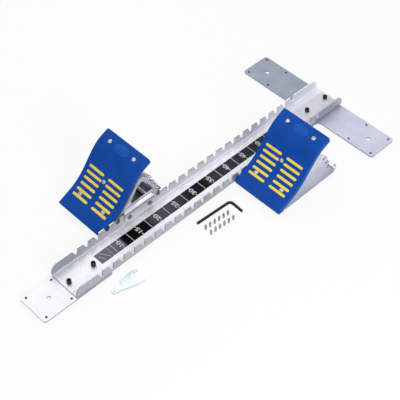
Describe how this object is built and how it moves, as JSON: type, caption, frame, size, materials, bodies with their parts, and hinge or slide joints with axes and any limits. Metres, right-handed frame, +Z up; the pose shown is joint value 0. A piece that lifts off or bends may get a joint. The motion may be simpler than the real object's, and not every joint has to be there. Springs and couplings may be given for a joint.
{
  "type": "starting blocks",
  "caption": "Sprint starting blocks: a notched channel rail on spiked plates carries rubber-faced foot blocks that lift off and tilt, with loose tools and spare spikes.",
  "frame": {"origin": "on the ground under the middle of the part's bounding box, at the tips of the spikes", "axes": "+Y along the rail from the front plate to the rear crossplate, +X to the right of a runner who faces the front plate, +Z up"},
  "size_m": [0.381, 0.851, 0.1379],
  "materials": {
    "rail_alloy": "satin",
    "tape": "printed film",
    "plate_steel": "bright zinc",
    "black_steel": "black oxide",
    "zinc_small": "bright zinc",
    "spike_steel": "plain",
    "spanner_steel": "polished",
    "spare_steel": "plain",
    "frame_steel": "satin zinc",
    "saddle_steel": "bright zinc",
    "pin_steel": "dark zinc",
    "pedal_steel": "bright zinc",
    "pad_rubber": "matte",
    "grip_rubber": "matte",
    "screw_zinc": "bright zinc",
    "rod_steel": "polished"
  },
  "bodies": {
    "rail_unit": {"rail": "rail_alloy", "scale_tape": "tape", "front_plate": "plate_steel", "rear_crossplate": "plate_steel", "front_bolts": "black_steel", "rear_bolts": "black_steel", "front_nuts": "zinc_small", "rear_nuts": "zinc_small", "front_spikes": "spike_steel", "rear_spikes": "spike_steel", "hex_key": "black_steel", "flat_spanner": "spanner_steel", "spare_spikes": "spare_steel"},
    "left_base": {"left_inner_side": "frame_steel", "left_outer_side": "frame_steel", "left_floor_plate": "frame_steel", "left_tie_tube": "frame_steel", "left_saddle": "saddle_steel", "left_notch_pins": "pin_steel", "left_pivot_rod": "zinc_small", "left_pivot_nut": "zinc_small"},
    "left_pedal": {"left_pedal_plate": "pedal_steel", "left_pad": "pad_rubber", "left_grip_bars": "grip_rubber", "left_pad_screws": "screw_zinc", "left_pad_nuts": "zinc_small", "left_hinge_pin": "zinc_small", "left_hinge_clips": "zinc_small"},
    "left_prop": {"left_prop": "pedal_steel", "left_prop_rod": "rod_steel", "left_rod_collars": "zinc_small"},
    "right_base": {"right_inner_side": "frame_steel", "right_outer_side": "frame_steel", "right_floor_plate": "frame_steel", "right_tie_tube": "frame_steel", "right_saddle": "saddle_steel", "right_notch_pins": "pin_steel", "right_pivot_rod": "zinc_small", "right_pivot_nut": "zinc_small"},
    "right_pedal": {"right_pedal_plate": "pedal_steel", "right_pad": "pad_rubber", "right_grip_bars": "grip_rubber", "right_pad_screws": "screw_zinc", "right_pad_nuts": "zinc_small", "right_hinge_pin": "zinc_small", "right_hinge_clips": "zinc_small"},
    "right_prop": {"right_prop": "pedal_steel", "right_prop_rod": "rod_steel", "right_rod_collars": "zinc_small"}
  },
  "joints": [
    {"name": "left_block_lift", "type": "slide", "parent": "rail_unit", "child": "left_base", "axis": [0, 0, 1], "range_m": [0, 0.04]},
    {"name": "left_pedal_tilt", "type": "hinge", "parent": "left_base", "child": "left_pedal", "pos_m": [0, -0.2033, 0.008], "axis": [1, 0, 0], "range_deg": [0, 28]},
    {"name": "left_prop_swing", "type": "hinge", "parent": "left_pedal", "child": "left_prop", "pos_m": [0, -0.10811, 0.09497], "axis": [1, 0, 0], "range_deg": [0, 45]},
    {"name": "right_block_lift", "type": "slide", "parent": "rail_unit", "child": "right_base", "axis": [0, 0, 1], "range_m": [0, 0.04]},
    {"name": "right_pedal_tilt", "type": "hinge", "parent": "right_base", "child": "right_pedal", "pos_m": [0, 0.097, 0.008], "axis": [1, 0, 0], "range_deg": [0, 28]},
    {"name": "right_prop_swing", "type": "hinge", "parent": "right_pedal", "child": "right_prop", "pos_m": [0, 0.19219, 0.09497], "axis": [1, 0, 0], "range_deg": [0, 45]}
  ]
}
